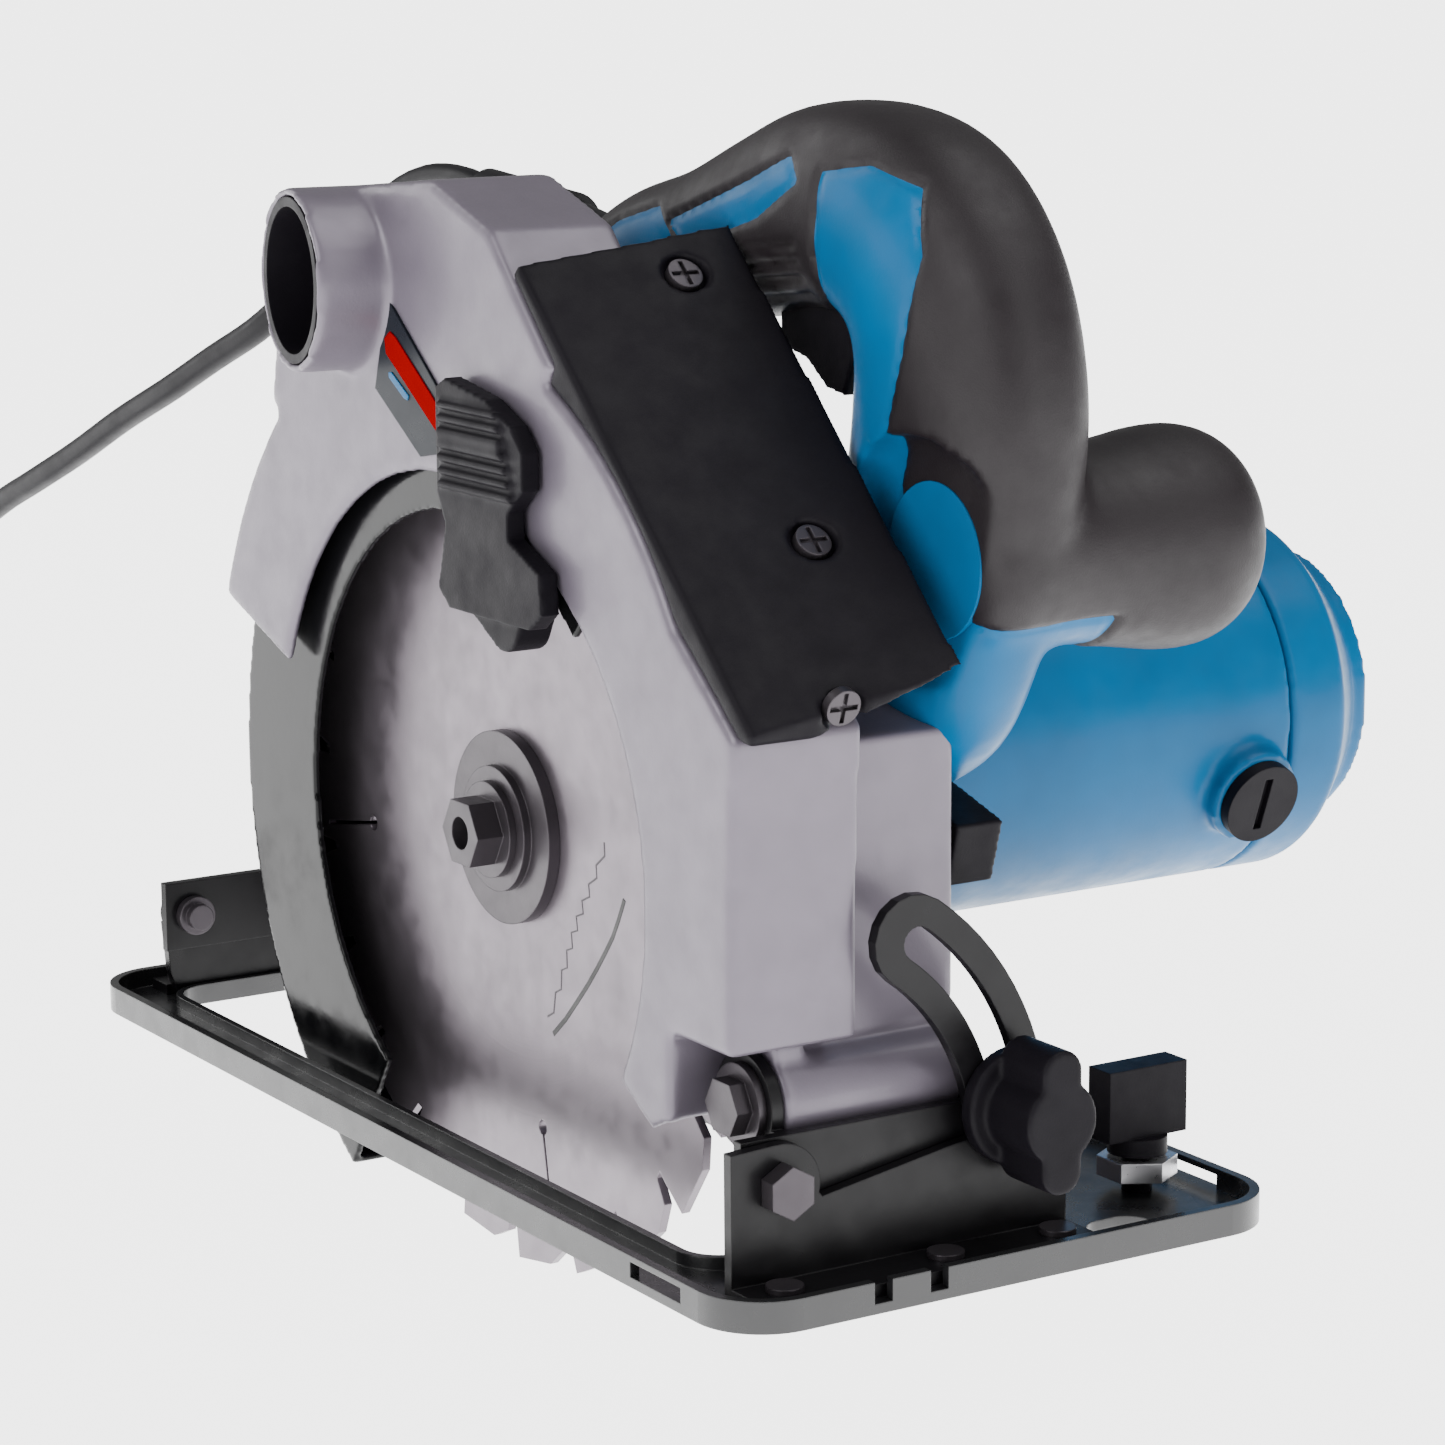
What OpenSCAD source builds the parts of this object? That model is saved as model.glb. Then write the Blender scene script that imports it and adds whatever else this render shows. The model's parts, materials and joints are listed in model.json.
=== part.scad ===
// Corded circular saw: sidewinder type, blade to the right of the motor.
// The origin lies on the sole, straight below the arbor, in the middle plane of the blade.
// +X is the cutting direction, +Y points from the blade to the motor, +Z is up.

/* [Blade] */
// Diameter of the blade over its tooth tips
blade_d = 185; // [180:1:190]
// Number of teeth on the blade
blade_teeth = 24; // [16:4:40]
// Thickness of the blade's plate
blade_t = 1.8; // [1.2:0.1:2.2]
// Height of the arbor above the sole
arbor_z = 68; // [60:1:75]
// Diameter of the two blade flanges
flange_d = 40; // [34:1:42]

/* [Base] */
// Length of the base plate along the cut
base_l = 285; // [270:1:300]
// Distance from the arbor to the front edge of the base
base_front = 129; // [125:1:135]
// Right edge of the base, on the blade side
base_right = -28; // [-32:1:-26]
// Left edge of the base, on the motor side
base_left = 99; // [95:1:110]
// Thickness of the base's sheet
base_t = 2; // [1.5:0.1:3]
// Height of the turned-up rim
rim_h = 6.2; // [6:0.1:8]

/* [Pivots] */
// Distance from the arbor forward to the depth pivot
pivot_x = 98; // [97.5:0.1:98.5]
// Height of the depth pivot
pivot_z = 34; // [33.5:0.1:34.5]
// Side position of the bevel axis
bevel_y = -9; // [-10:0.5:-8]
// Height of the bevel axis
bevel_z = 22; // [21:0.5:23]
// Radius of the bevel quadrant's slot
bevel_r = 52; // [50:1:54]

/* [Motor] */
// Motor axis, forward of the arbor
motor_x = 25; // [24:0.5:26]
// Motor axis height
motor_z = 83; // [82:0.5:84]
// Outer radius of the motor housing
motor_r = 39; // [38:0.5:40]
// Far end of the motor housing
motor_end = 180; // [175:1:185]

/* [Handle] */
// Middle plane of the handle
handle_y = 45; // [44:0.5:46]
// Width of the handle
handle_w = 34; // [32:1:36]
// Radius of the front grip
grip_r = 20; // [18:0.5:21]
// Far end of the front grip
grip_end = 105; // [100:1:112]

/* [Cord] */
// Diameter of the cord
cord_d = 6.5; // [6:0.5:7.5]

/* [Hidden] */
$fn = 64;

base_rear = base_front - base_l;
blade_r = blade_d / 2;
floor_z = arbor_z - blade_r;
slot = [-139, 97, -15, 40];          // blade slot: x low, x high, y low, y high
slot_corner = 8;
rim_t = 2;
base_corner = 14;
window_x = [91, 109];                // guide bar window along x
window_z = [base_t, 5];
clamp_pos = [100, 84];
bracket_x = 108.6;                   // rear face of the pivot bracket's front wall
quad_x = 111.5;                      // rear face of the fixed quadrant
rear_x = -144;                       // rear face of the rear bracket
ear_y = [-7, 36.5];                  // low faces of the pivot bracket's two ears
plate_t = 2.5;                       // thickness of the bracket sheets
bevel_start = 9;                     // slot angle at a square cut
bevel_travel = 45;
barrel_r = 9.8;
barrel_y = [-4, 36];
guard_y = [-17, 11];
wall = 2.5;
guard_in_r = 102;
guard_out_r = 106;
gear_y = [11, 39.5];
lower_r = 99;
lower_wall = 1.4;
lower_y = [-12.6, 9];
hub_r = 22;
gear_teeth = 40;
pinion_teeth = 10;
gear_dist = sqrt(pow(motor_x, 2) + pow(motor_z - arbor_z, 2));
gear_angle = atan2(motor_z - arbor_z, motor_x);
tooth_module = 2 * gear_dist / (gear_teeth + pinion_teeth);
brush_y = 141;
brush_tilt = 20;                     // the brushes lean down towards the front
depth_r = 195;                       // radius of the depth guide's slot
depth_angle = 27;                    // where the depth stud stands on that slot
lock_tilt = 16;
dust_tilt = 8;                       // the dust outlet looks back by this angle
dust_r = [15, 17, 18.8];             // inside of the sleeve, outside of the sleeve, outside of the boss
relief_from = [-47, handle_y, 183];

// ---- placing helpers ----
module along_y(y0, y1) translate([0, y1, 0]) rotate([90, 0, 0]) linear_extrude(y1 - y0) children();
module along_x(x0, x1) translate([x0, 0, 0]) rotate([90, 0, 90]) linear_extrude(x1 - x0) children();
module rod_y(x, z, r, y0, y1) translate([x, y0, z]) rotate([-90, 0, 0]) cylinder(r = r, h = y1 - y0);
module rod_x(y, z, r, x0, x1) translate([x0, y, z]) rotate([0, 90, 0]) cylinder(r = r, h = x1 - x0);
module ring_y(x, z, r, bore, y0, y1) difference() {
    rod_y(x, z, r, y0, y1);
    rod_y(x, z, bore, y0 - 1, y1 + 1);
}
module box(low, high) translate(low) cube(high - low);
module rounded(low, high, r) {
    translate([low[0] + r, low[1]]) square([high[0] - low[0] - 2 * r, high[1] - low[1]]);
    translate([low[0], low[1] + r]) square([high[0] - low[0], high[1] - low[1] - 2 * r]);
    for (x = [low[0] + r, high[0] - r], y = [low[1] + r, high[1] - r]) translate([x, y]) circle(r);
}
module sector(r, a0, a1) {
    step = (a1 - a0) / 8;
    polygon(concat([[0, 0]], [for (i = [0:8]) 1.2 * r * [cos(a0 + i * step), sin(a0 + i * step)]]));
}
function polar(r, a) = [r * cos(a), r * sin(a)];
function arc(at, r, a0, a1, n) = [for (i = [0:n]) at + polar(r, a0 + (a1 - a0) * i / n)];
// a band along a circle of radius r, w to each side of it, with round ends
module curved_slot(r, w, a0, a1) polygon(concat(
    arc([0, 0], r + w, a0, a1, 14), arc(polar(r, a1), w, a1 + 20, a1 + 160, 7),
    arc([0, 0], r - w, a1, a0, 14), arc(polar(r, a0), w, a0 + 200, a0 + 340, 7)));
module hex_head(af, h) cylinder(r = af / sqrt(3), h = h, $fn = 6);

// ---- base ----
module base_outline(inset) rounded([base_rear + inset, base_right + inset],
    [base_front - inset, base_left - inset], base_corner - inset);
module slot_outline(grow) rounded([slot[0] - grow, slot[2] - grow], [slot[1] + grow, slot[3] + grow],
    slot_corner + grow);
module base_plate() color("#1c1c1f") difference() {
    union() {
        linear_extrude(base_t) base_outline(0);
        linear_extrude(rim_h) difference() { base_outline(0); base_outline(rim_t); }
        linear_extrude(4.6) difference() { slot_outline(1.6); slot_outline(0); }
    }
    translate([0, 0, -1]) linear_extrude(9) slot_outline(0);
    box([window_x[0], base_right - 1, window_z[0]], [window_x[1], base_right + 4, window_z[1]]);
    box([window_x[0], base_left - 4, window_z[0]], [window_x[1], base_left + 1, window_z[1]]);
    for (y = [3.5, 16]) box([base_front - 5, y - 2, base_t], [base_front + 1, y + 2, rim_h + 1]);
    translate([0, 0, -1]) linear_extrude(5) rounded([112, 60], [123, 74], 5);
    for (x = [-100, 20]) translate([0, 0, -1]) linear_extrude(5) rounded([x, 72], [x + 40, 80], 3.9);
    translate([clamp_pos[0], clamp_pos[1], -1]) cylinder(r = 3.05, h = 5);
    for (p = rivet_spots) translate([p[0], p[1], -1]) cylinder(r = 2.02, h = 5);
}
rivet_spots = [[119.5, -12], [119.5, 24], [119.5, 50], [-148, -8], [-148, 22]];
module base_rivets() color("#55565a") for (p = rivet_spots) translate([p[0], p[1], 0.4]) {
    cylinder(r = 2, h = base_t + plate_t - 0.4);
    translate([0, 0, base_t + plate_t - 0.4]) cylinder(r = 3.6, h = 1.2);
}
module quad_profile() difference() {
    union() {
        polygon([[-20, base_t], [56, base_t], [56, 22], [46, 26], [30, 24], [0, 19], [-10, 30.5], [-20, 30]]);
        translate([bevel_y, bevel_z]) circle(8.5);
        translate([bevel_y, bevel_z]) curved_slot(bevel_r, 9, -2, bevel_start + bevel_travel + 1);
    }
    translate([bevel_y, bevel_z]) {
        curved_slot(bevel_r, 3.3, bevel_start, bevel_start + bevel_travel);
        circle(3.05);
    }
}
module front_quadrant() color("#232326") {
    along_x(quad_x, quad_x + plate_t) quad_profile();
    difference() {
        box([quad_x + plate_t, -20, base_t], [126, 56, base_t + plate_t]);
        for (p = [for (i = [0:2]) rivet_spots[i]]) translate([p[0], p[1], 0]) cylinder(r = 2.02, h = 9);
        translate([0, 0, -1]) linear_extrude(9) rounded([112, 58], [123, 76], 5);
    }
}
module rear_bracket() color("#232326") {
    along_x(rear_x, rear_x + plate_t) difference() {
        union() {
            polygon([[-12, base_t], [30, base_t], [27, 14], [16, 17.5], [5, 18.5], [-3, 20], [-9, 22], [-15, 20], [-14, 8]]);
            translate([bevel_y, bevel_z]) circle(6);
        }
        translate([bevel_y, bevel_z]) circle(3.05);
    }
    difference() {
        box([-152, -14, base_t], [rear_x, 28, base_t + plate_t]);
        for (i = [3, 4]) translate([rivet_spots[i][0], rivet_spots[i][1], 0]) cylinder(r = 2.02, h = 9);
    }
}
module guide_clamp_nut() color("#8d8f94") translate([clamp_pos[0], clamp_pos[1], 5.2]) difference() {
    hex_head(14, 4);
    translate([0, 0, -1]) cylinder(r = 3.05, h = 9);
}
module guide_clamp_screw() color("#4a4a4e") translate([clamp_pos[0], clamp_pos[1], 0]) {
    translate([0, 0, 0.6]) cylinder(r = 3, h = 13);
    translate([0, 0, 10]) cylinder(r = 6, h = 3.6);
    translate([-3.5, -9.5, 13.5]) cube([7, 19, 14.5]);
}

// ---- bevel carriage ----
module pivot_bracket() color("#1f1f22") difference() {
    union() {
        along_x(bracket_x, bracket_x + plate_t)
            polygon([[-16, 16], [-4, 10], [34, 9], [44, 20], [51, 25], [49, 37], [39, 37], [36, 31], [-16, 31]]);
        for (y = ear_y) {
            box([pivot_x, y, 21], [bracket_x + 0.5, y + plate_t, 31]);
            along_y(y, y + plate_t) translate([pivot_x, pivot_z]) circle(barrel_r);
        }
    }
    rod_y(pivot_x, pivot_z, 4.05, -20, 45);
    rod_x(bevel_y, bevel_z, 3.02, 100, 120);
    rod_x(bevel_y, bevel_z, 5.6, 100, bracket_x - 0.02);
    translate([0, bevel_y, bevel_z]) {
        p = polar(bevel_r, bevel_start);
        rod_x(p[0], p[1], 3.02, 100, 120);
        rod_x(p[0], p[1], 5.05, 100, bracket_x - 0.02);
    }
}
module bevel_pivot_screws() color("#9a9ca1") {
    rod_x(bevel_y, bevel_z, 3, 105, 115);
    rod_x(bevel_y, bevel_z, 5.5, 106.4, bracket_x - 0.05);
    translate([quad_x + plate_t + 0.1, bevel_y, bevel_z]) rotate([0, 90, 0]) hex_head(9, 4);
    rod_x(bevel_y, bevel_z, 3, -150, -134);
    for (x = [rear_x - 2.25, rear_x + 5.55]) rod_x(bevel_y, bevel_z, 4.5, x, x + 2.2);
}
module bevel_stud() color("#b0b2b6") translate([0, bevel_y, bevel_z]) {
    p = polar(bevel_r, bevel_start);
    rod_x(p[0], p[1], 3, 105.2, 124);
    rod_x(p[0], p[1], 5, 105.4, bracket_x - 0.02);
}
module bevel_knob() color("#2a2a2d") {
    p = polar(bevel_r, bevel_start);
    translate([quad_x + plate_t + 0.4, bevel_y + p[0], bevel_z + p[1]]) rotate([0, 90, 0]) difference() {
        union() {
            cylinder(r = 11.5, h = 3.5);
            translate([0, 0, 3]) linear_extrude(14) union() {
                circle(8);
                rounded([-14, -4.5], [14, 4.5], 4.4);
            }
        }
        translate([0, 0, -1]) cylinder(r = 3.05, h = 12);
    }
}
module depth_hinge_pin() color("#9a9ca1") {
    rod_y(pivot_x, pivot_z, 4, -8, 44);
    translate([pivot_x, ear_y[0] - 0.05, pivot_z]) rotate([90, 0, 0]) { cylinder(r = 8, h = 1.6); hex_head(10, 5); }
    translate([pivot_x, ear_y[1] + plate_t + 0.05, pivot_z]) rotate([-90, 0, 0]) hex_head(12, 4);
}
module depth_slot_band(w, a0, a1) translate([pivot_x, pivot_z])
    curved_slot(depth_r, w, 180 - a1, 180 - a0);
module depth_guide() color("#2b2b2e") difference() {
    union() {
        along_y(23, 25.5) difference() {
            union() {
                depth_slot_band(9, 2, 43);
                polygon([[-133, 14], [-133, 30], [-112, 52], [-90, 52], [-92, 30], [-100, 14]]);
            }
            depth_slot_band(3.2, 4, 42);
        }
        along_x(rear_x + 3, rear_x + 3 + plate_t) difference() {
            polygon([[-16, 14], [-16, 30], [25.5, 30], [25.5, 14]]);
            translate([bevel_y, bevel_z]) circle(3.02);
        }
        box([rear_x + 3, 23, 14], [-128, 25.5, 30]);
    }
}
depth_at = [pivot_x, pivot_z] + polar(depth_r, 180 - depth_angle);
module depth_stud() color("#b0b2b6") {
    rod_y(depth_at[0], depth_at[1], 3, 9.3, 36);
}
module depth_lever() color("#26262a") translate([depth_at[0], 0, depth_at[1]]) rotate([0, 60, 0]) difference() {
    union() {
        ring_y(0, 0, 8, 3.05, 26, 33);
        along_y(28, 33) difference() { rounded([0, -6], [46, 6], 5.9); circle(7); }
    }
    rod_y(0, 0, 3.05, 20, 40);
}

// ---- upper guard and gear housing ----
module guard_outline() {
    intersection() {
        translate([0, arbor_z]) circle(guard_out_r, $fn = 128);
        translate([0, arbor_z]) polygon([[0, 0], [-116, 42], [-130, 130], [130, 130], [130, -20], [80, -42], [60, -30]]);
    }
    polygon([[-74, 149], [-68, 178], [-50, 196], [0, 200.5], [24, 192], [34, 181], [47, 167.5], [0, 120]]);
    polygon([[90, 124], [104, 112.5], [111.5, 106], [110, 90], [109, 40], [96, 26], [84, 30], [80, 70], [80, 120]]);
}
module arch_outline() {
    translate([0, arbor_z]) intersection() {
        union() { circle(74, $fn = 96); translate([10, 0]) circle(68, $fn = 96); }
        polygon([[-120, 42], [-60, 100], [120, 100], [120, -60], [0, -120], [-120, -100]]);
    }
    polygon([[-130, 60], [0, 60], [60, 20], [80, 24], [95, 0], [-130, 0]]);
}
module guard_pocket() {
    translate([0, arbor_z]) circle(guard_in_r, $fn = 128);
    polygon([[-120, 60], [0, 30], [90, 20], [90, -40], [-120, -40]]);
}
module dust_axis() translate([-36.5, -22, 178.5]) rotate([0, 0, -dust_tilt]) rotate([90, 0, 0]) children();
module upper_guard() color("#b9b6bf") difference() {
    union() {
        difference() {
            along_y(guard_y[0], guard_y[1]) guard_outline();
            along_y(guard_y[0] + wall, guard_y[1] - 1.8) intersection() {
                guard_pocket();
                translate([-200, 0]) square([286, 260]);
            }
            along_y(guard_y[0] - 1, guard_y[0] + wall + 1) arch_outline();
            along_y(-9, 6) polygon([[-60, 160], [-56, 182], [-30, 192], [28, 184], [40, 170], [0, 150]]);
        }
        dust_axis() translate([0, 0, -7]) cylinder(r = dust_r[2], h = 15);
    }
    dust_axis() translate([0, 0, -14]) cylinder(r = dust_r[1] + 0.02, h = 60);
    rod_y(0, arbor_z, 25.05, 0, 20);
    rod_y(depth_at[0], depth_at[1], 3.01, 0, 20);
    rod_y(0, arbor_z, blade_r + 1.5, -3, 3);
    along_y(-20, 12) polygon([[87.7, 46.5], [130, 46.5], [130, 0], [87.7, 0]]);
}
module gear_outline() {
    translate([0, arbor_z]) circle(33);
    translate([motor_x, motor_z]) circle(36);
    polygon([[10, 118], [40, 118], [72, 110], [100, 101], [100, 46], [82, 46], [60, 48], [10, 50]]);
}
module gear_housing() color("#bdbac2") difference() {
    union() {
        along_y(gear_y[0], gear_y[1]) gear_outline();
        rod_y(pivot_x, pivot_z, barrel_r, barrel_y[0], barrel_y[1]);
        box([88, 3, 36], [100, 36, 46.5]);
        box([94.5, barrel_y[0] + 0.1, 36], [104, 3.1, 46.4]);
    }
    rod_y(0, arbor_z, 28, 16, gear_y[1] - 4);
    rod_y(motor_x, motor_z, 14, 16, gear_y[1] - 4);
    rod_y(0, arbor_z, 25.05, 0, 17);
    rod_y(0, arbor_z, 9.02, 15, gear_y[1] - 2);
    rod_y(motor_x, motor_z, 11.02, 15, 60);
    along_y(18, 33) polygon([[60, 56], [95, 56], [95, 96], [66, 98], [62, 84]]);
    rod_y(pivot_x, pivot_z, 4.05, -20, 50);
    box([80, 36.1, 10], [112, 41, 47]);
}
module dust_sleeve() color("#2c2a30") dust_axis() difference() {
    translate([0, 0, -6]) cylinder(r = dust_r[1], h = 13.5);
    translate([0, 0, -7]) cylinder(r = dust_r[0], h = 22);
}
module name_badge() color("#b3242b") difference() {
    along_y(-17.55, -17) polygon([[-18, 176], [6, 157], [6, 147], [-5, 145], [-24, 157]]);
    dust_axis() translate([0, 0, -10]) cylinder(r = dust_r[2] + 0.05, h = 20);
}
module cover_outline() difference() {
    polygon([[26, 178], [41.2, 194.3], [130, 130], [119.5, 116], [115.5, 105.6], [111.9, 106.3], [60, 100]]);
    translate([0, arbor_z]) circle(guard_out_r + 0.2, $fn = 128);
    polygon([[-10, 201], [0, 200.7], [24.2, 192.2], [34.2, 181.2], [47.3, 167.7], [0, 100]]);
    polygon([[90.2, 124.2], [104.2, 112.7], [111.7, 106.2], [111.7, 90], [60, 60], [78, 120]]);
}
cover_lean = 46.5;                   // direction the cover's sloping face looks, from +X towards +Z
module front_cover() color("#26242b") difference() {
    along_y(-16.5, 28) cover_outline();
    translate([0, 0, arbor_z]) rotate([0, -cover_lean, 0]) translate([0, 0, -90]) linear_extrude(180)
        polygon([[108.4, -20], [117.4, 30], [170, 30], [170, -20]]);
    translate([104, -2, 105.8]) rotate([20, 0, 0]) box([0, -40, -30], [30, 60, 0]);
    along_y(11.2, 25) translate([0, arbor_z]) intersection() {
        circle(111.3); sector(120, 30, 60);
    }
    for (s = cover_screw_spots) translate(s[0]) rotate([0, s[1], 0]) {
        translate([0, 0, -7.6]) cylinder(r = 2.05, h = 14);
        translate([0, 0, -2.4]) cylinder(r = 4.6, h = 12);
    }
}
cover_screw_spots = [[[44.5, 15, 183.9], 90 - cover_lean], [[92.2, 13, 138.1], 90 - cover_lean],
    [[117.3, 3, 111], 108]];
module cover_screws() color("#a5a5aa") for (s = cover_screw_spots) translate(s[0]) rotate([0, s[1], 0]) {
    translate([0, 0, -2.3]) difference() {
        cylinder(r = 3.6, h = 2);
        translate([-3, -0.5, 1]) cube([6, 1, 2]);
        translate([-0.5, -3, 1]) cube([1, 6, 2]);
    }
    translate([0, 0, -7.5]) cylinder(r = 2, h = 5.3);
}

// ---- spindle and blade ----
module bearing_retainer() color("#8d8f94") difference() {
    union() {
        rod_y(0, arbor_z, 25, 9.4, 15.8);
        rod_y(0, arbor_z, hub_r, 5, 10);
    }
    rod_y(0, arbor_z, 14.02, 0, 20);
}
module bearing(x, z, bore, r, y0, y1) {
    ring_y(x, z, r, r - 2.2, y0, y1);
    ring_y(x, z, bore + 1.8, bore, y0, y1);
    for (a = [0:45:315]) {
        p = polar((r - 2.2 + bore + 1.8) / 2, a);
        translate([x + p[0], (y0 + y1) / 2, z + p[1]]) sphere((r - bore - 4) / 2 - 0.03);
    }
}
module spindle_bearings() color("#a9abb0") {
    bearing(0, arbor_z, 6.02, 14, 6, 15);
    bearing(0, arbor_z, 4.02, 9, 35.6, 37.4);
}
module spindle() color("#9a9ca1") difference() {
    union() {
        rod_y(0, arbor_z, 6, 1, 34);
        rod_y(0, arbor_z, 4, 34, 37.4);
        rod_y(0, arbor_z, 8, -0.9, 1.2);
    }
    rod_y(0, arbor_z, 4.02, -10, 14);
}
module toothed(count, m, bore) difference() {
    union() {
        circle(count * m / 2 - 1.1 * m);
        for (i = [0:count - 1]) rotate(i * 360 / count) polygon([
            polar(count * m / 2 - 1.3 * m, -72 / count), polar(count * m / 2, -56 / count),
            polar(count * m / 2 + 0.7 * m, -26 / count), polar(count * m / 2 + 0.7 * m, 26 / count),
            polar(count * m / 2, 56 / count), polar(count * m / 2 - 1.3 * m, 72 / count)]);
    }
    circle(bore);
}
module output_gear() color("#6d6f74") along_y(20, 29) translate([0, arbor_z])
    rotate(gear_angle) toothed(gear_teeth, tooth_module, 6.01);
module inner_flange() color("#3a3a3e") difference() {
    union() { rod_y(0, arbor_z, flange_d / 2, 1.2, 3.4); rod_y(0, arbor_z, 10, 3.4, 4.7); }
    rod_y(0, arbor_z, 6.01, 0, 9);
    rod_y(0, arbor_z, 8.01, 0, 1.25);
}
tooth_pitch = 360 / blade_teeth;
function tooth_points(a) = [polar(blade_r, a), polar(blade_r - 1.2, a + 0.55 * tooth_pitch),
    polar(blade_r - 4.5, a + 0.8 * tooth_pitch), polar(blade_r - 10, a + 0.86 * tooth_pitch),
    polar(blade_r - 10.5, a + 0.95 * tooth_pitch), polar(blade_r - 8.5, a + tooth_pitch - 0.8)];
module blade() color("#b4b2b4") along_y(-blade_t / 2, blade_t / 2) translate([0, arbor_z]) difference() {
    polygon([for (i = [0:blade_teeth - 1], p = tooth_points(i * tooth_pitch)) p]);
    circle(8.02);
    for (a = [10:90:280]) rotate(a) {
        translate([blade_r - 30, -0.4]) square([22, 0.8]);
        translate([blade_r - 30, 0]) circle(1.6);
    }
}
module outer_flange() color("#2a292c") difference() {
    union() {
        rod_y(0, arbor_z, flange_d / 2, -3.6, -0.95);
        rod_y(0, arbor_z, 13, -5.4, -3.6);
    }
    rod_y(0, arbor_z, 4.05, -9, 1);
}
module blade_bolt() color("#3b3b40") {
    rod_y(0, arbor_z, 4, -5.4, 12);
    rod_y(0, arbor_z, 10, -7, -5.4);
    translate([0, -7, arbor_z]) rotate([90, 0, 0]) difference() {
        hex_head(13, 6);
        translate([0, 0, 2]) cylinder(r = 3.4, h = 6);
    }
}

// ---- lower guard ----
lower_from = -122;                   // front end of the lower guard, as an angle round the arbor
lower_to = -315;                     // rear end
module lower_web(inner) translate([0, arbor_z]) difference() {
    for (s = [lower_to:48.25:lower_from - 40]) intersection() {
        circle(lower_r, $fn = 128);
        sector(lower_r, s, s + 48.25);
    }
    circle(inner, $fn = 96);
}
module lower_guard() color("#1a1a1d") {
    along_y(lower_y[0], lower_y[0] + lower_wall) lower_web(66);
    along_y(lower_y[0] + lower_wall, lower_y[1] - lower_wall) lower_web(lower_r - lower_wall);
    difference() {
        union() {
            along_y(lower_y[1] - lower_wall, lower_y[1]) lower_web(72);
            along_y(lower_y[1] - lower_wall, lower_y[1]) translate([0, arbor_z]) {
                circle(28);
                for (a = [-180, -245]) rotate(a) translate([20, -12]) square([54, 24]);
            }
        }
        rod_y(0, arbor_z, hub_r + 0.06, 0, 20);
    }
}
module guard_lever() color("#242327") {
    along_y(-20.5, lower_y[0]) translate([0, arbor_z]) rotate(61) rounded([53, -11], [72, 11], 6);
    along_y(-22, -17.9) polygon([[10, 144], [10, 161], [14, 163], [30, 160.3], [40, 156], [44, 151.5],
        [44, 144], [38, 139], [38, 134], [50, 129], [51, 121], [46, 117.5], [14, 117.5], [9.6, 121],
        [13, 134], [10, 140]]);
    for (i = [0:6]) along_y(-23.4, -21.9) translate([12, 141.5 + 2.6 * i]) square([29 - 0.9 * i, 1.3]);
}
module guard_spring() color("#8f9196") translate([0, 4.1, arbor_z]) rotate([90, 0, 0])
    rotate_extrude() translate([hub_r - 3, 0]) circle(0.7);

// ---- spindle lock ----
module spindle_lock() color("#2b2a2d") translate([98, 0, 75]) rotate([0, lock_tilt, 0])
    box([-26, 40.4, -6.5], [0, 51, 6.5]);

// ---- motor ----
module motor_housing() color("#0b76b8") difference() {
    union() {
        rod_y(motor_x, motor_z, motor_r, 52, 152);
        rod_y(motor_x, motor_z, motor_r - 2, 39.6, 52);
        along_y(39.6, 52) difference() {
            polygon([[14, 56], [64, 50], [66, 66], [62, 84], [20, 84]]);
        }
        for (s = [-1, 1]) brush_axis(s) translate([0, 0, 34]) cylinder(r = 10.5, h = 9);
    }
    rod_y(motor_x, motor_z, motor_r - 3, 54, 160);
    rod_y(motor_x, motor_z, 11.02, 30, 60);
    for (s = [-1, 1]) brush_axis(s) translate([0, 0, 20]) cylinder(r = 7.02, h = 30);
}
module brush_axis(s) translate([motor_x, brush_y, motor_z])
    rotate([0, 90 + brush_tilt + (s < 0 ? 180 : 0), 0]) children();
module motor_end_cap() color("#0b76b8") difference() {
    union() {
        rod_y(motor_x, motor_z, motor_r, 152.1, 166);
        translate([motor_x, 166, motor_z]) rotate([-90, 0, 0]) cylinder(r1 = motor_r, r2 = motor_r - 9, h = 10);
        rod_y(motor_x, motor_z, motor_r - 9, 176, motor_end);
    }
    rod_y(motor_x, motor_z, motor_r - 3, 150, 164);
    rod_y(motor_x, motor_z, 11.02, 150, 171);
    for (a = [0:20:340]) translate([motor_x, 0, motor_z]) rotate([0, a, 0])
        box([motor_r - 23, 160, -1.6], [motor_r - 13, 190, 1.6]);
}
module stator() color("#4f5156") along_y(84, 126) translate([motor_x, motor_z]) difference() {
    circle(motor_r - 3.05);
    circle(22.5);
    for (a = [0, 180]) rotate(a) translate([14, -15]) square([14, 30]);
}
module armature_shaft() color("#a9abb0") {
    rod_y(motor_x, motor_z, 4, 29.6, 170);
    along_y(19, 30) translate([motor_x, motor_z]) rotate(gear_angle + 180 + 180 / pinion_teeth)
        toothed(pinion_teeth, tooth_module, 0.5);
}
module armature_core() color("#a2562c") {
    along_y(84, 126) translate([motor_x, motor_z]) difference() {
        circle(21.5);
        circle(4.01);
        for (a = [0:30:330]) rotate(a) translate([15, -1.2]) square([7, 2.4]);
    }
    ring_y(motor_x, motor_z, 18, 4.01, 78, 84);
    ring_y(motor_x, motor_z, 18, 4.01, 126, 132);
}
module commutator() color("#b0703a") along_y(133, 149) translate([motor_x, motor_z]) difference() {
    circle(12);
    circle(4.01);
    for (a = [0:15:345]) rotate(a) translate([10.4, -0.25]) square([3, 0.5]);
}
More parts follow.
